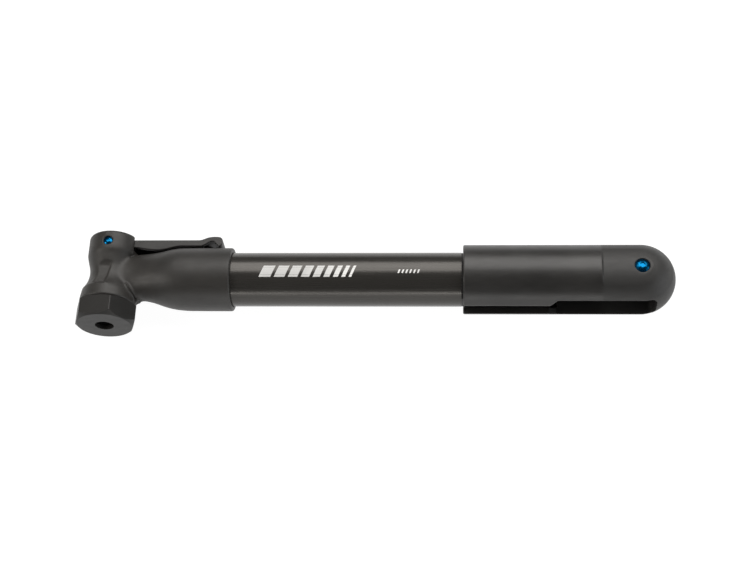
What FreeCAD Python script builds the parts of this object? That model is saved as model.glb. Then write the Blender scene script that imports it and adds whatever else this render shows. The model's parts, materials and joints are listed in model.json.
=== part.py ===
import FreeCAD, Part

import math
import os

from FreeCAD import Vector

# Hand pump for bicycle tyres, built as loose pieces, in millimetres.
# Working frame while the pieces are made:
#   X  along the barrel, from the head to the round end of the handle
#   Y  towards the cap of the head; the valve nut is on the -Y side
#   Z  along both pivot pins
#   the origin is where the barrel axis crosses the chuck axis
# Every piece is moved up by NUT_FACE on export, so the pump's origin is the
# centre of the valve hole, on the nut's face, and -Y is the way out of it.

# ---- driving dimensions -------------------------------------------------
BARREL_R = 12.0
BARREL_WALL = 1.2
COLLAR_R = 14.15
COLLAR_END = 56.2
HANDLE_R = 15.35
HANDLE_MOUTH = 158.6
HANDLE_PIVOT = 235.8
HANDLE_CENTRE = 236.35
ROD_R = 3.5
STROKE = 96.0

CAP_TOP = 19.6
CAP_R = 11.3
CAP_SHIFT = 0.45
CAP_FOOT = 9.8
NUT_FACE = 22.6
NUT_TOP = 12.9
NUT_FLATS = 24.8
NUT_GAP = 0.3
NUT_TURN = 19.5
PORT_R = 4.15
LEVER_PIVOT = 14.4
CAM_START = 3.8
CAM_THROW = 2.4

RUN_GAP = 0.05
SLIDE_GAP = 0.1
WIDE = 30.0      # further out than any side of the pump
LONG = 300.0     # further out than its round end
X_AXIS = 0
Y_AXIS = 1

# ---- sizes worked out from them -----------------------------------------
BORE_R = BARREL_R - BARREL_WALL
HANDLE_BORE_R = BARREL_R + 0.3
SOCKET_FLOOR = 38.5
TUBE_START = SOCKET_FLOOR + 1.5
RIM_REACH = math.hypot(HANDLE_PIVOT - HANDLE_MOUTH, HANDLE_R)
DISH_R = RIM_REACH + 0.12

# ---- valve head ---------------------------------------------------------
SPIGOT_R = 9.6
SPIGOT_END = -19.4
GUSSET_HALF = 1.5
CHAMBER_R = 6.7
CHAMBER_TOP = 2.2
STEM_R = 3.2
LEVER_SLOT_HALF = 4.6
LEVER_SLOT_FLOOR = 7.6
LEVER_SLOT_BACK = -7.0
LEVER_SLOT_STEP = 8.6
LEVER_SLOT_FRONT = 14.0
LEVER_SLOT_SHELF = 12.3
LEVER_HALF = 4.3
LEVER_WALL = 1.2
PIN_SHAFT_R = 1.6
PIN_HEAD_R = 1.95
PIN_HEAD_SEAT = 9.4
PIN_TOP = 11.15
AIRWAY_R = 1.6
VALVE_POCKET_R = 4.0
VALVE_POCKET_START = 28.5
SEAT_START = 36.6
POPPET_R = 2.9
POPPET_BACK = 35.5
PLUNGER_R = 6.5
PLUNGER_FACE = -12.2
PLUNGER_DISC_TOP = -8.0
AIR_HOLE_RING = 2.7
STEM_START = -5.5
WASHER_TOP = -19.9
NUT_FLOOR = -20.4

# ---- piston and rod -----------------------------------------------------
PISTON_FRONT = 44.5
PISTON_BACK = 50.0
BUMPER_BACK = 52.5
GUIDE_FACE = BUMPER_BACK + STROKE
BUSH_START = GUIDE_FACE + 2.2
BUSH_END = GUIDE_FACE + 7.0
BUSH_R = 5.0
WIPER_POCKET_R = 5.6
VENT_R = 0.8
VENT_PLACE = 7.6
FIN_R = HANDLE_BORE_R - 0.35
FIN_HALF = 3.7
FIN_REACH = 7.0
SCREW_R = 2.0
SCREW_HOLE_R = 2.02
SCREW_END = PISTON_BACK + 8.0
SCREW_HEAD_R = 3.6
SEAL_BASE = PISTON_FRONT - 1.2
WASHER_FACE = SEAL_BASE - 1.0
ROLL_PIN_R = 1.0
ROLL_PIN_X = HANDLE_PIVOT - 32.0
ROD_END = HANDLE_PIVOT - 27.0

# ---- handle -------------------------------------------------------------
EYE_R = 6.3
EYE_HALF = 5.9
FITTING_HALF = 6.35
FITTING_FRONT = HANDLE_PIVOT - 35.5
NARROW_SLOT_HALF = 3.8
WIDE_SLOT_HALF = 6.7
WIDE_SLOT_START = HANDLE_PIVOT - 36.2
SLOT_RAMP = 3.3
SLOT_CORNER_R = 3.0
FLAT_START = HANDLE_PIVOT - 17.4
FLAT_CURVE_R = 20.0
FLAT_DEPTH = 0.75
STEP_EASE = 0.5
PIVOT_R = 2.5
EYE_BORE_R = PIVOT_R + 0.6
PIVOT_HEAD_R = 3.1
PIVOT_HEAD_SEAT = 12.6
PIVOT_TOP = HANDLE_R - FLAT_DEPTH + 0.35
PIVOT_SCREW_R = 1.6


# ---- small helpers ------------------------------------------------------
def rod_x(radius, start, end, y=0.0, z=0.0):
    return Part.makeCylinder(radius, end - start, Vector(start, y, z), Vector(1, 0, 0))


def rod_y(radius, start, end, x=0.0, z=0.0):
    return Part.makeCylinder(radius, end - start, Vector(x, start, z), Vector(0, 1, 0))


def rod_z(radius, start, end, x=0.0, y=0.0):
    return Part.makeCylinder(radius, end - start, Vector(x, y, start), Vector(0, 0, 1))


def block(x_span, y_span, z_span):
    size = [span[1] - span[0] for span in (x_span, y_span, z_span)]
    return Part.makeBox(size[0], size[1], size[2], Vector(x_span[0], y_span[0], z_span[0]))


def ring_x(centre, major, minor):
    return Part.makeTorus(major, minor, Vector(centre, 0, 0), Vector(1, 0, 0))


def ring_y(centre, major, minor):
    return Part.makeTorus(major, minor, Vector(0, centre, 0), Vector(0, 1, 0))


def face_from(edges):
    return Part.Face(Part.Wire(edges))


def chain(points):
    """Straight edges through the points, closed at the end."""
    return Part.makePolygon(list(points) + [points[0]])


def plate(points, half):
    """A flat outline in XY, made 2 * half thick about Z = 0."""
    outline = Part.Face(chain([Vector(x, y, -half) for x, y in points]))
    return outline.extrude(Vector(0, 0, 2 * half))


def turned_x(points):
    """A profile of (x, radius) points turned about the barrel axis."""
    return Part.Face(chain([Vector(x, r, 0) for x, r in points])).revolve(
        Vector(0, 0, 0), Vector(1, 0, 0), 360)


def turned_y(points):
    """A profile of (y, radius) points turned about the chuck axis."""
    return Part.Face(chain([Vector(r, y, 0) for y, r in points])).revolve(
        Vector(0, 0, 0), Vector(0, 1, 0), 360)


def curve(points):
    """A smooth edge through the points."""
    spline = Part.BSplineCurve()
    spline.interpolate(points)
    return spline.toShape()


def hexagon(across_flats, turn):
    """Corners of a hexagon in (a, b); turn is the first corner's angle."""
    reach = across_flats / math.sqrt(3.0)
    angles = [math.radians(turn + 60.0 * k) for k in range(6)]
    return [(reach * math.cos(a), reach * math.sin(a)) for a in angles]


def hex_socket(x, y, top, across_flats, depth):
    """The cutter for a hexagon key's socket, open towards +Z."""
    points = [Vector(x + a, y + b, top - depth) for a, b in hexagon(across_flats, 20.0)]
    return Part.Face(chain(points)).extrude(Vector(0, 0, depth + 2.0))


def round_circle(shape, fillet, radius, axis, place):
    """Rounds the circular edge of this radius at this X, Y or Z."""
    edges = [edge for edge in shape.Edges if is_circle(edge, radius, axis, place)]
    return shape.makeFillet(fillet, edges)


def is_circle(edge, radius, axis, place):
    """True for a circle of this radius whose centre has this X, Y or Z."""
    if edge.Degenerated or not isinstance(edge.Curve, Part.Circle):
        return False
    return abs(edge.Curve.Center[axis] - place) < 0.01 and abs(edge.Curve.Radius - radius) < 0.01


# ---- head ---------------------------------------------------------------
def oval(x, low, high, half):
    """A closed oval across the barrel axis, from low to high in Y."""
    middle = (low + high) / 2.0
    rise = (high - low) / 2.0
    turns = [math.radians(30.0 * k) for k in range(12)]
    points = [Vector(x, middle + rise * math.cos(a), half * math.sin(a)) for a in turns]
    spline = Part.BSplineCurve()
    spline.interpolate(points, PeriodicFlag=True)
    return Part.Wire(spline.toShape())


def head_cap():
    """The round top of the post, a little wider towards the barrel."""
    cap = rod_y(CAP_R, CAP_FOOT, CAP_TOP, CAP_SHIFT)
    cap = round_circle(cap, 1.3, CAP_R, Y_AXIS, CAP_TOP)
    return round_circle(cap, 1.0, CAP_R, Y_AXIS, CAP_FOOT)


def head_stack():
    """The waisted post that carries the cap at its top and the nut below."""
    cap_foot = Vector(10.9, CAP_FOOT + 0.8, 0)
    shoulder = Vector(11.7, -6.9, 0)
    foot = Vector(12.4, -NUT_TOP + 0.8, 0)
    toe = Vector(11.9, -NUT_TOP, 0)
    waist = [cap_foot, Vector(10.2, 7.6, 0), Vector(9.15, 3.4, 0), Vector(9.2, -0.9, 0),
             Vector(10.3, -4.5, 0), shoulder]
    edges = [
        Part.makeLine(Vector(0, CAP_FOOT + 0.8, 0), cap_foot),
        curve(waist),
        Part.makeLine(shoulder, foot),
        Part.makeLine(foot, toe),
        Part.makeLine(toe, Vector(SPIGOT_R, -NUT_TOP, 0)),
        Part.makeLine(Vector(SPIGOT_R, -NUT_TOP, 0), Vector(SPIGOT_R, SPIGOT_END, 0)),
        Part.makeLine(Vector(SPIGOT_R, SPIGOT_END, 0), Vector(0, SPIGOT_END, 0)),
        Part.makeLine(Vector(0, SPIGOT_END, 0), Vector(0, CAP_FOOT + 0.8, 0)),
    ]
    return face_from(edges).revolve(Vector(0, 0, 0), Vector(0, 1, 0), 360)


def head_neck():
    """The neck: narrow and tall at the post, swelling into the collar."""
    root_r = COLLAR_R - 0.05
    sections = [oval(x, -below, above, half) for x, below, above, half in (
        (2.0, 8.8, 10.4, 6.9), (8.0, 9.2, 11.2, 7.3), (13.5, 9.75, 11.7, 8.3),
        (17.5, 10.1, 11.85, 9.6), (22.0, 11.15, 12.2, 11.2), (27.0, 12.75, 13.2, 12.9),
        (31.5, 13.65, 13.95, 13.8), (35.5, root_r, root_r, root_r), (38.6, root_r, root_r, root_r))]
    neck = Part.makeLoft(sections, True, False)
    collar = rod_x(COLLAR_R, 38.0, COLLAR_END)
    return neck.fuse(round_circle(collar, 0.8, COLLAR_R, X_AXIS, COLLAR_END))


def lever_slot():
    """Room for the lever: deep under its cam, shallow under its arm."""
    sides = (-LEVER_SLOT_HALF, LEVER_SLOT_HALF)
    deep = block((LEVER_SLOT_BACK, LEVER_SLOT_STEP), (LEVER_SLOT_FLOOR, WIDE), sides)
    return deep.fuse(block((0.0, LEVER_SLOT_FRONT), (LEVER_SLOT_SHELF, WIDE), sides))


def head_body():
    """The moulded head: post, neck, collar, gusset, slot and all its bores."""
    web = plate([(7.0, -3.0), (13.9, -9.0), (14.2, -10.3), (12.9, -12.4), (7.0, -12.4)], GUSSET_HALF)
    body = head_stack().fuse(head_cap()).fuse(head_neck()).fuse(web)
    cuts = [
        rod_x(BARREL_R + 0.02, SOCKET_FLOOR, LONG),
        rod_x(VALVE_POCKET_R, VALVE_POCKET_START, SOCKET_FLOOR + 1.0),
        rod_x(AIRWAY_R, 2.0, VALVE_POCKET_START + 1.0),
        rod_y(CHAMBER_R, SPIGOT_END - 1.0, CHAMBER_TOP),
        rod_y(STEM_R + RUN_GAP, CHAMBER_TOP - 1.0, LEVER_SLOT_FLOOR + 1.0),
        lever_slot(),
        rod_z(PIN_SHAFT_R + 0.02, -WIDE, WIDE, 0.0, LEVER_PIVOT),
        rod_z(PIN_HEAD_R + 0.12, PIN_HEAD_SEAT, WIDE, 0.0, LEVER_PIVOT),
        rod_z(PIN_HEAD_R + 0.12, -WIDE, -PIN_HEAD_SEAT, 0.0, LEVER_PIVOT),
    ]
    return body.cut(Part.makeCompound(cuts)).removeSplitter()


def domed_head(radius, seat, top, drop, x, y):
    """A pin's head whose top falls away by drop from its middle to its rim."""
    ball_r = (radius ** 2 + drop ** 2) / (2.0 * drop)
    ball = Part.makeSphere(ball_r, Vector(x, y, top - ball_r))
    return rod_z(radius, seat, top, x, y).common(ball)


def lever_pin():
    """Blue pivot pin of the lever, with a key socket in its front head."""
    pin = rod_z(PIN_SHAFT_R, -PIN_HEAD_SEAT - 0.5, PIN_HEAD_SEAT + 0.5, 0.0, LEVER_PIVOT)
    front = domed_head(PIN_HEAD_R, PIN_HEAD_SEAT, PIN_TOP, 0.6, 0.0, LEVER_PIVOT)
    back = front.mirror(Vector(0, 0, 0), Vector(0, 0, 1))
    pin = pin.fuse(front).fuse(back).removeSplitter()
    return pin.cut(hex_socket(0.0, LEVER_PIVOT, PIN_TOP, 1.5, 0.6))


def cam_point(turn):
    """A point of the cam whose height grows evenly with the lever's turn."""
    rate = CAM_THROW / (math.pi / 2.0)
    reach = CAM_START + rate * turn
    x = -reach * math.sin(turn) - rate * math.cos(turn)
    y = -reach * math.cos(turn) + rate * math.sin(turn)
    return Vector(x, LEVER_PIVOT + y, -LEVER_HALF)


def lock_lever():
    """Thumb lever: cam hub, arm along the neck, upturned tab, cored below."""
    def at(x, y):
        return Vector(x, LEVER_PIVOT + y, -LEVER_HALF)

    cam = [cam_point(math.radians(6.0 * k)) for k in range(17)]
    hub_top = at(1.5, 4.75)
    edges = [
        Part.makeLine(at(2.6, -CAM_START), cam[0]),
        curve(cam),
        Part.Arc(cam[-1], at(-4.1, 4.35), hub_top).toShape(),
        Part.makeLine(hub_top, at(7.5, 3.5)),
        Part.makeLine(at(7.5, 3.5), at(39.5, 3.5)),
        curve([at(39.5, 3.5), at(41.4, 3.85), at(43.6, 4.75), at(45.6, 5.15), at(48.8, 5.1)]),
        Part.Arc(at(48.8, 5.1), at(50.2, 4.2), at(50.4, 2.6)).toShape(),
        Part.Arc(at(50.4, 2.6), at(49.9, 0.75), at(48.7, 0.3)).toShape(),
        curve([at(48.7, 0.3), at(47.8, 1.3), at(46.3, 2.8), at(43.8, 1.9), at(40.8, 0.4)]),
        Part.makeLine(at(40.8, 0.4), at(31.0, 0.4)),
        curve([at(31.0, 0.4), at(28.2, -0.2), at(24.4, -1.2), at(21.0, -1.6), at(17.5, -1.35),
               at(13.0, -0.6), at(9.0, -0.4)]),
        Part.Arc(at(9.0, -0.4), at(5.2, -1.5), at(2.6, -CAM_START)).toShape(),
    ]
    lever = face_from(edges).extrude(Vector(0, 0, 2 * LEVER_HALF))
    lever = lever.cut(rod_z(PIN_SHAFT_R + RUN_GAP, -WIDE, WIDE, 0.0, LEVER_PIVOT))
    lever = lever.removeSplitter()
    arm_sides = [edge for edge in lever.Edges
                 if edge.BoundBox.XMin > 7.0 and edge.BoundBox.ZLength < 0.01]
    lever = lever.makeFillet(0.45, arm_sides)
    inside = (-LEVER_HALF + LEVER_WALL, LEVER_HALF - LEVER_WALL)
    lever = lever.cut(block((10.0, 41.4), (LEVER_PIVOT - 3.0, LEVER_PIVOT + 2.2), inside))
    return lever.cut(block((41.0, 48.6), (LEVER_PIVOT - 3.0, LEVER_PIVOT + 3.0), inside))


# ---- chuck --------------------------------------------------------------
def chuck_plunger():
    """Pushes the rubber onto the valve; the cam rides on its flat top."""
    top = LEVER_PIVOT - CAM_START - 0.02
    body = turned_y([
        (PLUNGER_FACE, 0.0), (PLUNGER_FACE, PLUNGER_R), (PLUNGER_DISC_TOP, PLUNGER_R),
        (PLUNGER_DISC_TOP, 1.8), (STEM_START, 1.8), (STEM_START, STEM_R),
        (5.95, STEM_R), (5.95, 2.2), (6.95, 2.2), (6.95, STEM_R), (top, STEM_R), (top, 0.0)])
    for angle in range(3):
        turn = math.radians(30.0 + 120.0 * angle)
        body = body.cut(rod_y(0.8, PLUNGER_FACE - 1.0, PLUNGER_DISC_TOP + 1.0,
                              AIR_HOLE_RING * math.cos(turn), AIR_HOLE_RING * math.sin(turn)))
    return body.cut(rod_y(1.2, PLUNGER_FACE - 1.0, PLUNGER_FACE + 3.0))


def plunger_o_ring():
    return ring_y(6.45, STEM_R - 0.47, 0.48)


def valve_depressor():
    """Small pin that opens the core of a car-type valve."""
    pin = rod_y(1.2, PLUNGER_FACE - 4.4, PLUNGER_FACE + 3.0)
    return round_circle(pin, 0.4, 1.2, Y_AXIS, PLUNGER_FACE - 4.4)


def chuck_grommet():
    """Rubber sleeve that grips the valve stem."""
    outer = rod_y(CHAMBER_R - 0.05, WASHER_TOP, PLUNGER_FACE)
    return outer.cut(rod_y(PORT_R - 0.2, WASHER_TOP - 1.0, PLUNGER_FACE + 1.0))


def slip_washer():
    outer = rod_y(9.4, NUT_FLOOR, WASHER_TOP)
    return outer.cut(rod_y(PORT_R + 0.6, NUT_FLOOR - 1.0, WASHER_TOP + 1.0))


def chuck_nut():
    """Hexagon nut that closes the chuck; chamfered towards the valve."""
    corners = [Vector(b, -NUT_FACE, a) for a, b in hexagon(NUT_FLATS, NUT_TURN)]
    height = NUT_FACE - NUT_TOP - NUT_GAP
    nut = Part.Face(chain(corners)).extrude(Vector(0, height, 0))
    upright = [edge for edge in nut.Edges if edge.BoundBox.YLength > 0.9 * height]
    nut = nut.makeFillet(0.7, upright)
    corner_r = NUT_FLATS / math.sqrt(3.0) + 0.1
    flat_r = NUT_FLATS / 2.0
    nut = nut.common(turned_y([
        (-NUT_FACE, 0.0), (-NUT_FACE, flat_r - 0.3), (-NUT_FACE + 0.2, flat_r - 0.05),
        (-NUT_FACE + 2.0, corner_r), (-NUT_TOP - 1.3, corner_r),
        (-NUT_TOP - NUT_GAP, flat_r + 0.35), (-NUT_TOP - NUT_GAP, 0.0)]))
    nut = nut.cut(rod_y(SPIGOT_R + SLIDE_GAP, NUT_FLOOR, 0.0))
    nut = nut.cut(rod_y(PORT_R, -NUT_FACE - 1.0, 0.0))
    return nut


# ---- check valve --------------------------------------------------------
def valve_seat():
    seat = rod_x(VALVE_POCKET_R, SEAT_START, SOCKET_FLOOR)
    return seat.cut(rod_x(1.4, SEAT_START - 1.0, SOCKET_FLOOR + 1.0))


def check_poppet():
    """Rubber-faced poppet that holds the pressure between strokes."""
    return turned_x([(POPPET_BACK - 2.6, 0.0), (POPPET_BACK - 2.6, 1.0), (POPPET_BACK, 1.0),
                     (POPPET_BACK, POPPET_R), (SEAT_START, POPPET_R), (SEAT_START, 0.0)])


def check_spring():
    """Light coil spring behind the poppet."""
    wire_r = 0.22
    coil_r = 2.1
    start = VALVE_POCKET_START + wire_r
    length = POPPET_BACK - VALVE_POCKET_START - 2 * wire_r
    helix = Part.makeHelix(length / 5.0, length, coil_r)
    profile = Part.Wire(Part.makeCircle(wire_r, Vector(coil_r, 0, 0), Vector(0, 1, 0)))
    spring = Part.Wire(helix).makePipeShell([profile], True, True)
    spring.rotate(Vector(0, 0, 0), Vector(0, 1, 0), 90)
    spring.translate(Vector(start, 0, 0))
    return spring


# ---- barrel -------------------------------------------------------------
def dish():
    """Ball about the handle pivot that the swinging mouth just clears."""
    return Part.makeSphere(DISH_R, Vector(HANDLE_PIVOT, 0, 0))


def barrel_tube():
    tube = rod_x(BARREL_R, TUBE_START, HANDLE_MOUTH + 2.0)
    tube = tube.cut(rod_x(BORE_R, TUBE_START - 1.0, HANDLE_MOUTH + 3.0))
    return tube.cut(dish())


def barrel_o_ring():
    return ring_x(SOCKET_FLOOR + 0.75, 11.2, 0.74)


def barrel_end_cap():
    """Plug in the barrel's end: guides the rod and keys the closed handle."""
    plug = rod_x(BORE_R - 0.02, GUIDE_FACE, HANDLE_MOUTH + 2.0).cut(dish())
    fin_start = HANDLE_PIVOT - DISH_R - 3.0
    fin_end = HANDLE_MOUTH + FIN_REACH
    across = (-WIDE, WIDE)
    key = rod_x(FIN_R, fin_start, fin_end)
    key = key.common(block((fin_start, fin_end), across, (-FIN_HALF, FIN_HALF)))
    lead_in = block((fin_end - 1.6, fin_end + 1.0), across, across)
    lead_in = lead_in.cut(turned_x([(fin_end - 1.6, 0.0), (fin_end - 1.6, FIN_R),
                                    (fin_end + 1.0, FIN_R - 2.85), (fin_end + 1.0, 0.0)]))
    key = key.cut(lead_in)
    inside = rod_x(BORE_R - 0.02, fin_start, HANDLE_PIVOT - DISH_R + 6.0)
    outside = block((fin_start, HANDLE_PIVOT), across, across).cut(dish()).cut(inside)
    cap = plug.fuse(key.cut(outside))
    cap = cap.cut(rod_x(ROD_R + SLIDE_GAP, GUIDE_FACE - 1.0, LONG))
    cap = cap.cut(rod_x(WIPER_POCKET_R, GUIDE_FACE - 1.0, BUSH_START))
    cap = cap.cut(rod_x(BUSH_R, GUIDE_FACE, BUSH_END))
    for side in (-1, 1):
        cap = cap.cut(rod_x(VENT_R, GUIDE_FACE - 1.0, LONG, 0.0, VENT_PLACE * side))
    return cap.removeSplitter()


def rod_wiper():
    return ring_x(GUIDE_FACE + 1.1, ROD_R + 1.07, 1.02)


def rod_guide_bush():
    """Plain bush the rod slides in."""
    bush = rod_x(BUSH_R, BUSH_START, BUSH_END)
    return bush.cut(rod_x(ROD_R + RUN_GAP, GUIDE_FACE, BUSH_END + 1.0))


# ---- piston -------------------------------------------------------------
def piston_body():
    body = rod_x(BORE_R - 0.25, PISTON_FRONT, PISTON_BACK)
    body = body.cut(rod_x(SCREW_HOLE_R, PISTON_FRONT - 1.0, PISTON_BACK + 1.0))
    groove = rod_x(WIDE, PISTON_FRONT + 1.4, PISTON_BACK - 1.4)
    groove = groove.cut(rod_x(BORE_R - 1.25, PISTON_FRONT, PISTON_BACK))
    return body.cut(groove)


def piston_wear_ring():
    """Split bearing band in the piston's groove."""
    band = rod_x(BORE_R - 0.03, PISTON_FRONT + 1.42, PISTON_BACK - 1.42)
    band = band.cut(rod_x(BORE_R - 1.2, PISTON_FRONT, PISTON_BACK))
    return band.cut(block((PISTON_FRONT, PISTON_BACK), (0.0, WIDE), (-0.4, 0.4)))


def piston_cup_seal():
    """Rubber cup whose lip faces the air being pressed."""
    lip = SEAL_BASE - 1.7
    return turned_x([(PISTON_FRONT, SCREW_HOLE_R), (PISTON_FRONT, BORE_R - 0.3),
                     (lip, BORE_R - 0.03), (lip, BORE_R - 0.7), (SEAL_BASE, BORE_R - 1.7),
                     (SEAL_BASE, SCREW_HOLE_R)])


def seal_washer():
    washer = rod_x(6.5, WASHER_FACE, SEAL_BASE)
    return washer.cut(rod_x(SCREW_R + RUN_GAP, WASHER_FACE - 1.0, PISTON_FRONT))


def piston_screw():
    """Pan-head screw that clamps seal, washer and piston to the rod."""
    head_start = WASHER_FACE - 2.0
    head = rod_x(SCREW_HEAD_R, head_start, WASHER_FACE)
    screw = rod_x(SCREW_R, WASHER_FACE - 0.5, SCREW_END).fuse(head)
    screw = round_circle(screw.removeSplitter(), 0.7, SCREW_HEAD_R, X_AXIS, head_start)
    points = [Vector(head_start - 1.0, a, b) for a, b in hexagon(2.5, 0.0)]
    return screw.cut(Part.Face(chain(points)).extrude(Vector(2.3, 0, 0)))


def piston_rod():
    """Hollow rod: a threaded eye at the piston, a cross hole at the handle."""
    rod = rod_x(ROD_R, PISTON_BACK, ROD_END)
    rod = rod.cut(rod_x(SCREW_HOLE_R, PISTON_BACK - 1.0, SCREW_END + 2.0))
    rod = rod.cut(rod_x(2.4, SCREW_END + 2.0, ROD_END + 1.0))
    return rod.cut(rod_z(ROLL_PIN_R, -WIDE, WIDE, ROLL_PIN_X, 0.0))


def rod_bumper():
    """Rubber ring that softens the end of the pull stroke."""
    ring = rod_x(8.6, PISTON_BACK, BUMPER_BACK)
    ring = ring.cut(rod_x(ROD_R, PISTON_BACK - 1.0, BUMPER_BACK + 1.0))
    return round_circle(ring, 0.6, 8.6, X_AXIS, BUMPER_BACK)


# ---- handle -------------------------------------------------------------
def under_edge(side):
    """Cutter that rounds one of the fitting's lower long edges."""
    start = FITTING_FRONT - 1.0
    end = HANDLE_PIVOT + EYE_R + 1.0
    corner_y = -EYE_R + SLOT_CORNER_R
    corner_z = FITTING_HALF - SLOT_CORNER_R
    low = min(side * corner_z, side * WIDE)
    waste = block((start, end), (-EYE_R - 1.0, corner_y), (low, low + WIDE - corner_z))
    return waste.cut(rod_x(SLOT_CORNER_R, start - 1.0, end + 1.0, corner_y, side * corner_z))


def rod_end_fitting():
    """Joins the rod to the handle: a socket block with a round eye."""
    def at(x, y):
        return Vector(x, y, -FITTING_HALF)

    edge = 1.5
    eye_back = at(HANDLE_PIVOT + EYE_R, 0.0)
    edges = [
        Part.makeLine(at(FITTING_FRONT, EYE_R - edge), at(FITTING_FRONT, -EYE_R + edge)),
        Part.makeLine(at(FITTING_FRONT, -EYE_R + edge), at(FITTING_FRONT + edge, -EYE_R)),
        Part.makeLine(at(FITTING_FRONT + edge, -EYE_R), at(HANDLE_PIVOT, -EYE_R)),
        Part.Arc(at(HANDLE_PIVOT, -EYE_R), eye_back, at(HANDLE_PIVOT, EYE_R)).toShape(),
        Part.makeLine(at(HANDLE_PIVOT, EYE_R), at(FITTING_FRONT + edge, EYE_R)),
        Part.makeLine(at(FITTING_FRONT + edge, EYE_R), at(FITTING_FRONT, EYE_R - edge)),
    ]
    body = face_from(edges).extrude(Vector(0, 0, 2 * FITTING_HALF))
    for low, high in ((EYE_HALF, WIDE), (-WIDE, -EYE_HALF)):
        body = body.cut(block((HANDLE_PIVOT - 8.5, LONG), (-WIDE, WIDE), (low, high)))
    for side in (-1, 1):
        body = body.cut(under_edge(side))
    body = body.cut(rod_x(ROD_R, FITTING_FRONT - 1.0, ROD_END))
    body = body.cut(rod_z(EYE_BORE_R, -WIDE, WIDE, HANDLE_PIVOT, 0.0))
    return body.cut(rod_z(ROLL_PIN_R, -WIDE, WIDE, ROLL_PIN_X, 0.0)).removeSplitter()


def eye_bush():
    """Plain bush in the eye, on which the handle folds."""
    bush = rod_z(EYE_BORE_R, -EYE_HALF, EYE_HALF, HANDLE_PIVOT, 0.0)
    return bush.cut(rod_z(PIVOT_R + RUN_GAP, -WIDE, WIDE, HANDLE_PIVOT, 0.0))


def rod_roll_pin():
    """Spring pin that locks the rod into its end fitting."""
    pin = rod_z(ROLL_PIN_R, -6.2, 6.2, ROLL_PIN_X, 0.0)
    return pin.cut(rod_z(0.55, -WIDE, WIDE, ROLL_PIN_X, 0.0))


def handle_outside():
    """Grip body: tube with a round end, eased flatter beside the pivot."""
    edge_r = 0.5
    mid = edge_r * math.sqrt(0.5)
    side_start = Vector(HANDLE_MOUTH + edge_r, HANDLE_R, 0)
    lip = Vector(HANDLE_MOUTH, HANDLE_R - edge_r, 0)
    lip_mid = Vector(HANDLE_MOUTH + edge_r - mid, HANDLE_R - edge_r + mid, 0)
    end_start = Vector(HANDLE_CENTRE, HANDLE_R, 0)
    end_mid = Vector(HANDLE_CENTRE + HANDLE_R * math.sqrt(0.5), HANDLE_R * math.sqrt(0.5), 0)
    tip = Vector(HANDLE_CENTRE + HANDLE_R, 0, 0)
    body = face_from([
        Part.makeLine(Vector(HANDLE_MOUTH, 0, 0), lip),
        Part.Arc(lip, lip_mid, side_start).toShape(),
        Part.makeLine(side_start, end_start),
        Part.Arc(end_start, end_mid, tip).toShape(),
        Part.makeLine(tip, Vector(HANDLE_MOUTH, 0, 0)),
    ]).revolve(Vector(0, 0, 0), Vector(1, 0, 0), 360)
    for side in (-1, 1):
        centre = side * (HANDLE_R - FLAT_DEPTH - FLAT_CURVE_R)
        keep = rod_x(FLAT_CURVE_R, FLAT_START, LONG, 0.0, centre)
        ease = Part.makeCone(FLAT_CURVE_R + FLAT_DEPTH, FLAT_CURVE_R, STEP_EASE,
                             Vector(FLAT_START, 0, centre), Vector(1, 0, 0))
        low = 0.0 if side > 0 else -WIDE
        waste = block((FLAT_START, LONG), (-WIDE, WIDE), (low, low + WIDE))
        body = body.cut(waste.cut(keep).cut(ease))
    return body


def handle_slot():
    """The long slot that lets rod and fitting swing out of the handle."""
    ramp = [(HANDLE_MOUTH - 5.0, NARROW_SLOT_HALF), (WIDE_SLOT_START - SLOT_RAMP, NARROW_SLOT_HALF),
            (WIDE_SLOT_START, WIDE_SLOT_HALF), (HANDLE_PIVOT, WIDE_SLOT_HALF)]
    points = [Vector(x, -WIDE, z) for x, z in ramp]
    points += [Vector(x, -WIDE, -z) for x, z in reversed(ramp)]
    cutter = Part.Face(chain(points)).extrude(Vector(0, WIDE, 0))
    pocket = block((WIDE_SLOT_START, HANDLE_PIVOT), (-WIDE, WIDE_SLOT_HALF),
                   (-WIDE_SLOT_HALF, WIDE_SLOT_HALF))
    end = rod_z(WIDE_SLOT_HALF, -WIDE_SLOT_HALF, WIDE_SLOT_HALF, HANDLE_PIVOT, 0.0)
    straight = WIDE_SLOT_HALF - SLOT_CORNER_R
    end_run = block((HANDLE_PIVOT - 1.0, HANDLE_PIVOT + straight), (-WIDE, 0.0),
                    (-WIDE_SLOT_HALF, WIDE_SLOT_HALF))
    end_tip = block((HANDLE_PIVOT, HANDLE_PIVOT + WIDE_SLOT_HALF), (-WIDE, 0.0),
                    (-straight, straight))
    corners = [rod_y(SLOT_CORNER_R, -WIDE, 0.0, HANDLE_PIVOT + straight, z)
               for z in (-straight, straight)]
    return Part.makeCompound([cutter, pocket, end, end_run, end_tip] + corners)


def handle_shell():
    shell = handle_outside()
    shell = shell.cut(rod_x(HANDLE_BORE_R, HANDLE_MOUTH - 1.0, WIDE_SLOT_START + 0.5))
    shell = shell.cut(handle_slot())
    shell = shell.cut(rod_z(PIVOT_R + 0.02, -WIDE, WIDE, HANDLE_PIVOT, 0.0))
    shell = shell.cut(rod_z(PIVOT_HEAD_R + 0.12, PIVOT_HEAD_SEAT, WIDE, HANDLE_PIVOT, 0.0))
    shell = shell.cut(rod_z(PIVOT_HEAD_R + 0.12, -WIDE, -PIVOT_HEAD_SEAT, HANDLE_PIVOT, 0.0))
    return shell


def pivot_head():
    return domed_head(PIVOT_HEAD_R, PIVOT_HEAD_SEAT, PIVOT_TOP, 1.0, HANDLE_PIVOT, 0.0)


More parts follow.
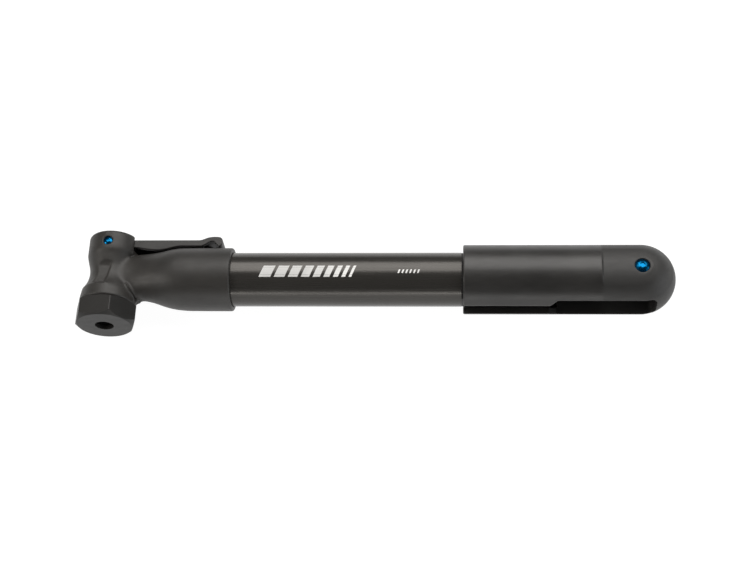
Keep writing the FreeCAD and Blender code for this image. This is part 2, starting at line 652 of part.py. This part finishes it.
def handle_pin():
    """Blue sleeve half of the pivot, pushed through from the front."""
    shaft = rod_z(PIVOT_R, -PIVOT_HEAD_SEAT, PIVOT_HEAD_SEAT + 0.5, HANDLE_PIVOT, 0.0)
    pin = pivot_head().fuse(shaft).removeSplitter()
    pin = pin.cut(rod_z(PIVOT_SCREW_R, -WIDE, 8.0, HANDLE_PIVOT, 0.0))
    return pin.cut(hex_socket(HANDLE_PIVOT, 0.0, PIVOT_TOP, 2.3, 0.7))


def handle_pin_screw():
    """Blue screw half of the pivot, from the back."""
    shaft = rod_z(PIVOT_SCREW_R, -5.0, PIVOT_HEAD_SEAT + 0.5, HANDLE_PIVOT, 0.0)
    screw = pivot_head().fuse(shaft).removeSplitter()
    screw = screw.cut(hex_socket(HANDLE_PIVOT, 0.0, PIVOT_TOP, 2.6, 1.2))
    screw.rotate(Vector(HANDLE_PIVOT, 0, 0), Vector(1, 0, 0), 180)
    return screw


def pivot_washers():
    """Two thin washers beside the eye."""
    washers = []
    for side in (-1, 1):
        low = min(side * EYE_HALF, side * WIDE_SLOT_HALF) + 0.02
        high = max(side * EYE_HALF, side * WIDE_SLOT_HALF) - 0.02
        washer = rod_z(5.6, low, high, HANDLE_PIVOT, 0.0)
        washers.append(washer.cut(rod_z(PIVOT_R + 0.1, -WIDE, WIDE, HANDLE_PIVOT, 0.0)))
    return Part.makeCompound(washers)


NODES = {
    "head_body": head_body,
    "lever_pin": lever_pin,
    "lock_lever": lock_lever,
    "chuck_plunger": chuck_plunger,
    "plunger_o_ring": plunger_o_ring,
    "valve_depressor": valve_depressor,
    "chuck_grommet": chuck_grommet,
    "slip_washer": slip_washer,
    "chuck_nut": chuck_nut,
    "valve_seat": valve_seat,
    "check_poppet": check_poppet,
    "check_spring": check_spring,
    "barrel_tube": barrel_tube,
    "barrel_o_ring": barrel_o_ring,
    "barrel_end_cap": barrel_end_cap,
    "rod_wiper": rod_wiper,
    "rod_guide_bush": rod_guide_bush,
    "piston_body": piston_body,
    "piston_wear_ring": piston_wear_ring,
    "piston_cup_seal": piston_cup_seal,
    "seal_washer": seal_washer,
    "piston_screw": piston_screw,
    "piston_rod": piston_rod,
    "rod_bumper": rod_bumper,
    "rod_end_fitting": rod_end_fitting,
    "eye_bush": eye_bush,
    "rod_roll_pin": rod_roll_pin,
    "handle_shell": handle_shell,
    "handle_pin": handle_pin,
    "handle_pin_screw": handle_pin_screw,
    "pivot_washers": pivot_washers,
}

os.makedirs("parts", exist_ok=True)
for name, make in NODES.items():
    piece = make()
    piece.translate(Vector(0, NUT_FACE, 0))
    print(name, "valid", piece.isValid(), "solids", len(piece.Solids),
          "volume", round(piece.Volume, 2))
    piece.exportStep("parts/" + name + ".step")
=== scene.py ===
import json
import math

import bpy
import numpy as np
from mathutils import Matrix, Vector


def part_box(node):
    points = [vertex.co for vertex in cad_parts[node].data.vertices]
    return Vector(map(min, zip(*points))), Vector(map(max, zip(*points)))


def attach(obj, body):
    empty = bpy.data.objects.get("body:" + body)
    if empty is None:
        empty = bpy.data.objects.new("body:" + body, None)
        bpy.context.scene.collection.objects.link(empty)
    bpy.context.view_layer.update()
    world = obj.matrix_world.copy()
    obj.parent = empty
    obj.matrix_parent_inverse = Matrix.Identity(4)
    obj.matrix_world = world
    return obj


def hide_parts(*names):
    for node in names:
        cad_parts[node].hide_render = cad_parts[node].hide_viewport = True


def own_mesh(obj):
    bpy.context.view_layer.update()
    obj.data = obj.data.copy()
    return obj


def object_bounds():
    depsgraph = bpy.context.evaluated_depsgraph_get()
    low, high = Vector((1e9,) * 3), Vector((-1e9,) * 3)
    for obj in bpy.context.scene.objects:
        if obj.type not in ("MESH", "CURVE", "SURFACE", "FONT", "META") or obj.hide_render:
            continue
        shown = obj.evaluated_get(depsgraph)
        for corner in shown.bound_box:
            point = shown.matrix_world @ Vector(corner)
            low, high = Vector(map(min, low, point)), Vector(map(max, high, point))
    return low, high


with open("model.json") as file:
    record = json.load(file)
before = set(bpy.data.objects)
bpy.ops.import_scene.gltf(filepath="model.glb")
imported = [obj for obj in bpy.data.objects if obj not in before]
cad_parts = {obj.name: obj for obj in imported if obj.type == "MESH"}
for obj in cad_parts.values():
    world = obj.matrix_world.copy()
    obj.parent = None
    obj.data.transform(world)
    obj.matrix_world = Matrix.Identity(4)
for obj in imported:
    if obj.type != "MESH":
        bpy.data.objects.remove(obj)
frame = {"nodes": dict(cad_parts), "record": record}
cad_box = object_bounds()

MM = 0.001


# ---- places taken from the frame ----------------------------------------
barrel_low, barrel_high = [Vector(corner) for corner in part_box("barrel_tube")]
AXIS_Y = (barrel_low.y + barrel_high.y) / 2
BARREL_R = (barrel_high.y - barrel_low.y) / 2
PIVOT_X = sum(corner[0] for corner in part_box("handle_pin")) / 2
FLOOR_Z = cad_box[0][2]
VALVE_ORIGIN = (0.0, AXIS_Y, 0.0)
PIVOT_ORIGIN = (PIVOT_X, AXIS_Y, 0.0)


# ---- camera -------------------------------------------------------------
ROLL = math.radians(26.0)
YAW = math.radians(3.4)
DISTANCE = 0.6229
AIM_X = 0.1195
AIM_DROP = 0.00081
FOCAL = 67.2
SENSOR_WIDTH = 36.0
CLIP_START = 0.01


def add_camera():
    """Long lens, square to the barrel, tipped towards the valve side."""
    along = Vector((1, 0, 0))
    facing = Vector((0, -math.sin(ROLL), math.cos(ROLL)))
    up = Vector((0, math.cos(ROLL), math.sin(ROLL)))
    back = along * math.sin(YAW) + facing * math.cos(YAW)
    right = along * math.cos(YAW) - facing * math.sin(YAW)
    place = Vector((AIM_X, AXIS_Y, 0)) + back * DISTANCE - up * AIM_DROP
    data = bpy.data.cameras.new("camera")
    data.lens = FOCAL
    data.sensor_width = SENSOR_WIDTH
    data.clip_start = CLIP_START
    camera = bpy.data.objects.new("camera", data)
    turn = Matrix((right, up, back)).transposed().to_4x4()
    camera.matrix_world = Matrix.Translation(place) @ turn
    bpy.context.scene.collection.objects.link(camera)
    bpy.context.scene.camera = camera


# ---- sculpting tools ----------------------------------------------------
VOXEL = 0.35 * MM


def ramp(values, start, end):
    """0 at start and before, 1 at end and after, smooth between."""
    t = np.clip((values - start) / (end - start), 0.0, 1.0)
    return t * t * (3.0 - 2.0 * t)


def fade(values, start, end):
    """1 at start and before, 0 at end and after, smooth between."""
    return 1.0 - ramp(values, start, end)


def remeshed(node, name):
    """A new object with the CAD node's shape, made of small even faces."""
    piece = bpy.data.objects.new(name, frame["nodes"][node].data.copy())
    bpy.context.scene.collection.objects.link(piece)
    remesh = piece.modifiers.new("remesh", "REMESH")
    remesh.mode = "VOXEL"
    remesh.voxel_size = VOXEL
    shown = piece.evaluated_get(bpy.context.evaluated_depsgraph_get())
    mesh = bpy.data.meshes.new_from_object(shown)
    piece.modifiers.clear()
    piece.data = mesh
    return piece


def read_points(mesh):
    flat = np.empty(len(mesh.vertices) * 3)
    mesh.vertices.foreach_get("co", flat)
    return flat.reshape(-1, 3)


def read_normals(mesh):
    flat = np.empty(len(mesh.vertices) * 3)
    mesh.vertices.foreach_get("normal", flat)
    return flat.reshape(-1, 3)


def read_edges(mesh):
    pairs = np.empty(len(mesh.edges) * 2, dtype=np.int64)
    mesh.edges.foreach_get("vertices", pairs)
    return pairs.reshape(-1, 2)


def write_points(mesh, points):
    mesh.vertices.foreach_set("co", points.ravel())
    mesh.polygons.foreach_set("use_smooth", np.ones(len(mesh.polygons), dtype=bool))
    mesh.update()


def millimetres_from(origin, points):
    """The points' x, y and z in millimetres from the origin."""
    return ((points - np.array(origin)) / MM).T


def relax(points, edges, weight, rounds):
    """Moves each point towards the mean of its neighbours, by its weight."""
    first = edges[:, 0]
    second = edges[:, 1]
    count = np.bincount(edges.ravel(), minlength=len(points))[:, None]
    share = 0.5 * weight[:, None]
    for _ in range(rounds):
        total = np.zeros_like(points)
        for axis in range(3):
            total[:, axis] = np.bincount(first, points[second, axis], len(points))
            total[:, axis] += np.bincount(second, points[first, axis], len(points))
        points = points + share * (total / count - points)
    return points


def show_in_place_of(node, piece, body):
    """The piece takes the CAD node's place, on its body."""
    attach(piece, body)
    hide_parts(node)
    return piece


# ---- sculpted head ------------------------------------------------------
# Millimetres from the valve's axis (x, z) and the barrel's axis (y), -y is the
# valve side. Each pair is the start and the end of a ramp.

# Walls that have to keep their shape, and the reach of the softened places.
CHAMBER_WALL = (7.2, 8.0)
AIRWAY_WALL = (4.2, 5.2)
SLOT_WALL = (5.0, 5.6)
SLOT_FLOOR = (6.0, 7.0)
NECK_START = (1.5, 4.0)
NECK_END = (11.0, 16.0)
POST_FOOT = (-12.6, -10.5)
POST_TOP = (12.0, 14.0)
CAP_SHARE = 0.8
CAP_FOOT_START = (7.0, 8.6)
CAP_FOOT_END = (11.4, 12.4)
CAP_SKIN = (9.2, 9.8)
CAP_SLOT_WALL = (5.0, 5.8)
CAP_BACK = (12.0, 13.0)
COLLAR_START = (31.0, 34.0)
COLLAR_END = (41.0, 44.0)
COLLAR_SKIN = (12.8, 13.2)

# The scoop's wall bows out below its top, and runs out over its floor and roof.
# It ends at a ridge that leans towards the grip.
SCOOP_HALF_WIDTH = 8.2
SCOOP_BOW = 0.012
SCOOP_TOP = 5.0
SCOOP_HEIGHT = 12.0
SCOOP_FLOOR = (5.6, 8.6)
SCOOP_FLOOR_RISE = 3.6
SCOOP_ROOF = (2.5, 9.0)
SCOOP_ROOF_RISE = 3.0
RIDGE_X = 1.4
RIDGE_LEAN = 0.2
RIDGE_EDGE = (-0.3, 0.7)

# The rib from neck to nut, its ends as (x, y); it fades out at the mould's parting line.
BEAD_HEIGHT = 1.0 * MM
BEAD_START = (9.6, -5.6)
BEAD_END = (13.9, -10.2)
BEAD_WIDTH = 0.8
BEAD_WIDENS = 0.6
BEAD_PARTING = (0.2, 1.2)

# How strongly and how often the points are relaxed: all of them, the neck's side, then the blends.
EVEN_SHARE = 0.6
EVEN_ROUNDS = 3
NECK_SIDE = (1.0, 4.0)
NECK_SHARE = 0.5
NECK_ROUNDS = 60
BLEND_ROUNDS = 40


def clear_of_chamber(x, z):
    """0 on the walls of the chuck's chamber, 1 on the skin outside it."""
    return ramp(np.hypot(x, z), *CHAMBER_WALL)


def blend_weight(x, y, z):
    """1 where the head's forms run into each other, 0 on its plain walls."""
    reach = np.hypot(x, z)
    girth = np.hypot(y, z)
    depth = np.abs(z)
    along = ramp(x, *NECK_START) * fade(x, *NECK_END)
    upright = ramp(y, *POST_FOOT) * fade(y, *POST_TOP)
    outside = clear_of_chamber(x, z) * ramp(girth, *AIRWAY_WALL)
    walls = np.clip(ramp(depth, *SLOT_WALL) + fade(y, *SLOT_FLOOR), 0.0, 1.0)
    junction = along * upright * outside * walls
    cap_foot = CAP_SHARE * ramp(y, *CAP_FOOT_START) * fade(y, *CAP_FOOT_END) * ramp(reach, *CAP_SKIN)
    cap_foot = cap_foot * ramp(depth, *CAP_SLOT_WALL) * fade(x, *CAP_BACK)
    collar_root = ramp(x, *COLLAR_START) * fade(x, *COLLAR_END) * ramp(girth, *COLLAR_SKIN)
    return np.maximum(np.maximum(junction, cap_foot), collar_root)


def scooped(x, y, z):
    """The head's z where each side of its post is scooped to an upright wall."""
    bow = SCOOP_BOW * np.clip(SCOOP_TOP - y, 0.0, SCOOP_HEIGHT) ** 2
    floor_rise = SCOOP_FLOOR_RISE * ramp(-y, *SCOOP_FLOOR)
    roof_rise = SCOOP_ROOF_RISE * ramp(y, *SCOOP_ROOF)
    wall = SCOOP_HALF_WIDTH + bow + floor_rise + roof_rise
    past_ridge = x - (RIDGE_X + RIDGE_LEAN * y)
    inside = fade(past_ridge, *RIDGE_EDGE) * clear_of_chamber(x, z)
    low = np.minimum(np.abs(z), wall)
    return np.sign(z) * (np.abs(z) + (low - np.abs(z)) * inside)


def crease_bead(x, y, z):
    """1 on the rib that runs down each side from neck to nut, 0 away from it."""
    start = np.array(BEAD_START)
    run = np.array(BEAD_END) - start
    across = np.stack((x, y), axis=1) - start
    t = np.clip(across @ run / (run @ run), 0.0, 1.0)
    gap = np.linalg.norm(across - t[:, None] * run, axis=1)
    return np.exp(-(gap / (BEAD_WIDTH + BEAD_WIDENS * t)) ** 2) * ramp(np.abs(z), *BEAD_PARTING)


def sculpt_head():
    """The moulded head, its post, neck and web run softly into each other."""
    head = remeshed("head_body", "head_moulding")
    points = read_points(head.data)
    edges = read_edges(head.data)
    points = relax(points, edges, np.full(len(points), EVEN_SHARE), EVEN_ROUNDS)
    x, y, z = millimetres_from(VALVE_ORIGIN, points)
    points[:, 2] = scooped(x, y, z) * MM
    blend = blend_weight(x, y, z)
    points = relax(points, edges, NECK_SHARE * blend * ramp(x, *NECK_SIDE), NECK_ROUNDS)
    points = relax(points, edges, blend, BLEND_ROUNDS)
    write_points(head.data, points)
    x, y, z = millimetres_from(VALVE_ORIGIN, points)
    lift = BEAD_HEIGHT * crease_bead(x, y, z) * clear_of_chamber(x, z)
    write_points(head.data, points + read_normals(head.data) * lift[:, None])
    return show_in_place_of("head_body", head, "head")


# ---- sculpted grip ------------------------------------------------------
# Millimetres from the pivot. Each pair is the start and the end of a ramp.
GRIP_EVEN_SHARE = 0.5
GRIP_EVEN_ROUNDS = 2
FLAT_END = (-1.0, 3.0)
FLAT_SKIN = (7.4, 8.6)
PIN_RECESS_RIM = (4.4, 5.6)
FLAT_ROUNDS = 160


def sculpt_grip():
    """The grip, its pivot flats run softly into the round end."""
    grip = remeshed("handle_shell", "grip_moulding")
    points = read_points(grip.data)
    edges = read_edges(grip.data)
    points = relax(points, edges, np.full(len(points), GRIP_EVEN_SHARE), GRIP_EVEN_ROUNDS)
    x, y, z = millimetres_from(PIVOT_ORIGIN, points)
    flat_end = ramp(x, *FLAT_END) * ramp(np.abs(z), *FLAT_SKIN) * ramp(np.hypot(x, y), *PIN_RECESS_RIM)
    points = relax(points, edges, flat_end, FLAT_ROUNDS)
    write_points(grip.data, points)
    return show_in_place_of("handle_shell", grip, "grip")


def add_pressed(node):
    """A soft CAD piece, shown by a copy with its own mesh on the head."""
    piece = bpy.data.objects.new(node + "_soft", frame["nodes"][node].data.copy())
    bpy.context.scene.collection.objects.link(piece)
    show_in_place_of(node, piece, "head")
    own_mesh(piece)
    return piece


def add_spring():
    return add_pressed("check_spring")


def add_grommet():
    return add_pressed("chuck_grommet")


# ---- print on the barrel ------------------------------------------------
# Turns are in degrees round the barrel, from +Z towards +Y.
PRINT_LIFT = 0.015 * MM
PRINT_ROWS = 8
STRIPES = 9
STRIPES_START = 69.0 * MM
STRIPE_WIDTH = 5.2 * MM
STRIPE_NARROWS = 0.5 * MM
STRIPE_GAP = 1.5 * MM
STRIPE_LEAN = 2.2 * MM
STRIPE_TURN = (-20.0, 5.0)
TICKS = 6
TICKS_START = 130.0 * MM
TICK_PITCH = 1.7 * MM
TICK_WIDTH = 0.7 * MM
TICK_LEAN = 0.6 * MM
TICK_TURN = (-12.0, -4.0)


def barrel_patch(name, corners):
    """Thin printed patch on the barrel; corners are (x, degrees from +Z to +Y)."""
    verts = []
    faces = []
    for row in range(PRINT_ROWS + 1):
        t = row / PRINT_ROWS
        for start, end in ((corners[0], corners[3]), (corners[1], corners[2])):
            x = start[0] + (end[0] - start[0]) * t
            turn = math.radians(start[1] + (end[1] - start[1]) * t)
            reach = BARREL_R + PRINT_LIFT
            verts.append((x, AXIS_Y + reach * math.sin(turn), reach * math.cos(turn)))
    for row in range(PRINT_ROWS):
        low = 2 * row
        faces.append((low, low + 1, low + 3, low + 2))
    mesh = bpy.data.meshes.new(name)
    mesh.from_pydata(verts, [], faces)
    mesh.polygons.foreach_set("use_smooth", [True] * len(mesh.polygons))
    return mesh


def join_patches(name, patches):
    """One object from several printed patches."""
    verts = []
    faces = []
    for patch in patches:
        base = len(verts)
        verts += [tuple(vertex.co) for vertex in patch.vertices]
        faces += [tuple(base + index for index in polygon.vertices) for polygon in patch.polygons]
    mesh = bpy.data.meshes.new(name)
    mesh.from_pydata(verts, [], faces)
    piece = bpy.data.objects.new(name, mesh)
    bpy.context.scene.collection.objects.link(piece)
    return piece


def slanted_bar(x, width, turn, lean):
    """Bar from x that runs up round the barrel and leans towards the grip."""
    low, high = turn
    return barrel_patch("bar", [(x, low), (x + width, low), (x + width + lean, high), (x + lean, high)])


def add_print():
    """Plain white stripes in place of lettering: slanted bars, then ticks."""
    bars = []
    x = STRIPES_START
    for k in range(STRIPES):
        width = STRIPE_WIDTH - STRIPE_NARROWS * k
        bars.append(slanted_bar(x, width, STRIPE_TURN, STRIPE_LEAN))
        x += width + STRIPE_GAP
    for k in range(TICKS):
        bars.append(slanted_bar(TICKS_START + TICK_PITCH * k, TICK_WIDTH, TICK_TURN, TICK_LEAN))
    piece = join_patches("barrel_stripes", bars)
    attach(piece, "head")
    return piece


# ---- light and floor ----------------------------------------------------
LIGHT_DISTANCE = 0.9
FILL = 0.06
WALL = 0.82
FLOOR_HALF = 12.0
FLOOR_COLOUR = (0.12, 0.12, 0.12, 1)
FLOOR_ROUGHNESS = 0.9
FLOOR_GLOW = 0.97


def add_softbox(name, azimuth, elevation, width, height, radiance, tint, slide=0.0):
    """Area light aimed at the pump; azimuth 0 is the -Y side, 90 is +X, slide moves it along X."""
    az = math.radians(azimuth)
    el = math.radians(elevation)
    way = Vector((math.sin(az) * math.cos(el), -math.cos(az) * math.cos(el), math.sin(el)))
    data = bpy.data.lights.new(name, "AREA")
    data.shape = "RECTANGLE"
    data.size = width
    data.size_y = height
    data.energy = math.pi * width * height * radiance
    data.color = tint
    lamp = bpy.data.objects.new(name, data)
    lamp.location = Vector((AIM_X + slide, AXIS_Y, 0)) + way * LIGHT_DISTANCE
    lamp.rotation_euler = way.to_track_quat("Z", "Y").to_euler()
    bpy.context.scene.collection.objects.link(lamp)


def add_lights():
    add_softbox("far_softbox", 180.0, 58.0, 1.15, 0.71, 3.9, (1.0, 0.98, 0.955), 0.24)
    add_softbox("front_strip", 0.0, 4.5, 1.1, 0.11, 4.6, (1.0, 0.985, 0.96), 0.12)
    add_softbox("left_card", -74.0, 31.0, 0.36, 0.26, 8.5, (1.0, 0.96, 0.91))
    add_softbox("rear_left_card", -126.0, 56.0, 0.34, 0.34, 1.9, (1.0, 0.96, 0.91))
    add_softbox("right_card", 72.0, 18.0, 0.8, 0.5, 1.7, (0.93, 0.97, 1.0))


def add_world():
    """Dim even fill from all round; the studio wall itself looks pale."""
    world = bpy.data.worlds.new("studio")
    world.use_nodes = True
    tree = world.node_tree
    seen = tree.nodes.new("ShaderNodeLightPath").outputs["Is Camera Ray"]
    shade = tree.nodes.new("ShaderNodeMapRange")
    shade.inputs["To Min"].default_value = FILL
    shade.inputs["To Max"].default_value = WALL
    tree.links.new(seen, shade.inputs["Value"])
    tree.links.new(shade.outputs["Result"], tree.nodes["Background"].inputs["Strength"])
    tree.nodes["Background"].inputs["Color"].default_value = (1, 1, 1, 1)
    bpy.context.scene.world = world


def add_floor():
    """Large pale table, lit a little from itself so that it stays white."""
    corners = [(FLOOR_HALF * x, FLOOR_HALF * y, FLOOR_Z) for x, y in ((-1, -1), (1, -1), (1, 1), (-1, 1))]
    mesh = bpy.data.meshes.new("floor")
    mesh.from_pydata(corners, [], [(0, 1, 2, 3)])
    floor = bpy.data.objects.new("floor", mesh)
    bpy.context.scene.collection.objects.link(floor)
    material = bpy.data.materials.new("floor_paper")
    material.use_nodes = True
    shader = material.node_tree.nodes["Principled BSDF"]
    shader.inputs["Base Color"].default_value = FLOOR_COLOUR
    shader.inputs["Roughness"].default_value = FLOOR_ROUGHNESS
    shader.inputs["Emission Color"].default_value = (1, 1, 1, 1)
    shader.inputs["Emission Strength"].default_value = FLOOR_GLOW
    mesh.materials.append(material)


# ---- materials ----------------------------------------------------------
MATT_STEP = 0.14
PIVOT_BLOCK_LENGTH = 17.4 * MM
FLOW_SCALE = 55.0
SCUFF_SCALE = 420.0
SCUFF_STRETCH = (0.35, 1.0, 1.0)
WAVE_SCALE = 90.0
WAVE_DEPTH = 0.02 * MM
LINE_SCALE = 2400.0
LINE_DEPTH = 0.0025 * MM
CLOUD_SCALE = 40.0
DRAWN = (0.02, 1.0, 1.0)
EVERY_WAY = (1.0, 1.0, 1.0)


class Paint:
    """A small builder of one node material."""

    def __init__(self, name):
        self.material = bpy.data.materials.new(name)
        self.material.use_nodes = True
        self.tree = self.material.node_tree
        self.shader = self.tree.nodes["Principled BSDF"]
        self.place = self.tree.nodes.new("ShaderNodeTexCoord").outputs["Object"]

    def link(self, source, target):
        self.tree.links.new(source, target)

    def noise(self, scale, detail, stretch=(1, 1, 1), roughness=0.5):
        mapping = self.tree.nodes.new("ShaderNodeMapping")
        mapping.inputs["Scale"].default_value = stretch
        node = self.tree.nodes.new("ShaderNodeTexNoise")
        node.inputs["Scale"].default_value = scale
        node.inputs["Detail"].default_value = detail
        node.inputs["Roughness"].default_value = roughness
        self.link(self.place, mapping.inputs["Vector"])
        self.link(mapping.outputs["Vector"], node.inputs["Vector"])
        return node.outputs["Fac"]

    def remap(self, source, low_in, high_in, low_out, high_out):
        node = self.tree.nodes.new("ShaderNodeMapRange")
        node.inputs["From Min"].default_value = low_in
        node.inputs["From Max"].default_value = high_in
        node.inputs["To Min"].default_value = low_out
        node.inputs["To Max"].default_value = high_out
        self.link(source, node.inputs["Value"])
        return node.outputs["Result"]

    def along_x(self):
        node = self.tree.nodes.new("ShaderNodeSeparateXYZ")
        self.link(self.place, node.inputs["Vector"])
        return node.outputs["X"]

    def add(self, first, second):
        node = self.tree.nodes.new("ShaderNodeMath")
        node.operation = "ADD"
        self.link(first, node.inputs[0])
        self.link(second, node.inputs[1])
        return node.outputs["Value"]

    def mix(self, factor, first, second):
        node = self.tree.nodes.new("ShaderNodeMix")
        node.data_type = "RGBA"
        for socket, colour in ((node.inputs["A"], first), (node.inputs["B"], second)):
            if isinstance(colour, tuple):
                socket.default_value = colour + (1,)
            else:
                self.link(colour, socket)
        self.link(factor, node.inputs["Factor"])
        return node.outputs["Result"]

    def bump(self, height, strength, distance, under=None):
        node = self.tree.nodes.new("ShaderNodeBump")
        node.inputs["Strength"].default_value = strength
        node.inputs["Distance"].default_value = distance
        self.link(height, node.inputs["Height"])
        if under is not None:
            self.link(under, node.inputs["Normal"])
        return node.outputs["Normal"]


def moulded(name, colour, rough, grain=2600.0, grain_depth=0.012, specular=0.5, matt_from=None):
    """Satin moulded nylon: fine spark texture, soft flow shade, faint scuffs; matt beyond an x."""
    paint = Paint(name)
    shade = paint.remap(paint.noise(FLOW_SCALE, 4.0), 0.35, 0.65, 0.0, 1.0)
    lighter = tuple(channel * 1.25 for channel in colour)
    darker = tuple(channel * 0.85 for channel in colour)
    paint.link(paint.mix(shade, darker, lighter), paint.shader.inputs["Base Color"])
    scuff = paint.noise(SCUFF_SCALE, 6.0, SCUFF_STRETCH, 0.7)
    gloss = paint.remap(scuff, 0.3, 0.75, rough - 0.05, rough + 0.07)
    if matt_from is not None:
        gloss = paint.add(gloss, paint.remap(paint.along_x(), matt_from, matt_from + MM, 0.0, MATT_STEP))
    paint.link(gloss, paint.shader.inputs["Roughness"])
    grain_bump = paint.bump(paint.noise(grain, 2.0), 1.0, grain_depth * MM)
    wave = paint.bump(paint.noise(WAVE_SCALE, 2.0), 1.0, WAVE_DEPTH, grain_bump)
    paint.link(wave, paint.shader.inputs["Normal"])
    paint.shader.inputs["Specular IOR Level"].default_value = specular
    return paint.material


def anodised(name, colour, rough, metallic, streak=DRAWN):
    """Metal with a fine finish: lines along x where it is drawn, the same every way where it isn't."""
    paint = Paint(name)
    lines = paint.noise(LINE_SCALE, 3.0, streak, 0.6)
    cloud = paint.noise(CLOUD_SCALE, 3.0)
    lighter = tuple(channel * 1.15 for channel in colour)
    darker = tuple(channel * 0.9 for channel in colour)
    paint.link(paint.mix(cloud, darker, lighter), paint.shader.inputs["Base Color"])
    paint.link(paint.remap(lines, 0.3, 0.7, rough - 0.05, rough + 0.06), paint.shader.inputs["Roughness"])
    paint.link(paint.bump(lines, 1.0, LINE_DEPTH), paint.shader.inputs["Normal"])
    paint.shader.inputs["Metallic"].default_value = metallic
    return paint.material


def finishes():
    """One finish for each slot that the record names."""
    return {
        "grip_moulding": moulded(
            "grip_nylon", (0.020, 0.0192, 0.0182), 0.38, matt_from=PIVOT_X - PIVOT_BLOCK_LENGTH
        ),
        "head_moulding": moulded("head_nylon", (0.0205, 0.0190, 0.0172), 0.50),
        "nut_moulding": moulded("nut_nylon", (0.014, 0.0133, 0.0124), 0.46, specular=0.37),
        "lever_moulding": moulded("lever_nylon", (0.0135, 0.0128, 0.0120), 0.46, specular=0.45),
        "barrel_alloy": anodised("barrel_anodised", (0.050, 0.047, 0.043), 0.25, 0.5),
        "rod_alloy": anodised("rod_anodised", (0.60, 0.60, 0.61), 0.25, 1.0),
        "blue_pin": anodised("blue_anodised", (0.003, 0.11, 0.25), 0.24, 1.0, EVERY_WAY),
        "nylon": moulded("black_nylon", (0.010, 0.0096, 0.0092), 0.45),
        "rubber": moulded("black_rubber", (0.010, 0.010, 0.010), 0.7, 1500.0, 0.02, 0.3),
        "brass": anodised("turned_brass", (0.62, 0.42, 0.16), 0.25, 1.0, EVERY_WAY),
        "steel": anodised("plated_steel", (0.5, 0.5, 0.51), 0.25, 1.0, EVERY_WAY),
    }


def add_materials(pieces, print_piece):
    """Each CAD node and each shaped piece takes the finish of its slot."""
    by_slot = finishes()
    for subpart in frame["record"]["subparts"]:
        piece = frame["nodes"][subpart["node"]]
        for slot in piece.material_slots:
            slot.material = by_slot[subpart["material_slot"]]
    for piece, slot in pieces:
        piece.data.materials.clear()
        piece.data.materials.append(by_slot[slot])
    print_piece.data.materials.append(moulded("print_white", (0.72, 0.72, 0.71), 0.5))


add_camera()
add_world()
add_floor()
add_lights()
shaped = (
    (sculpt_head(), "head_moulding"), (sculpt_grip(), "grip_moulding"),
    (add_spring(), "steel"), (add_grommet(), "rubber"),
)
add_materials(shaped, add_print())
bpy.context.scene.view_settings.view_transform = "Standard"
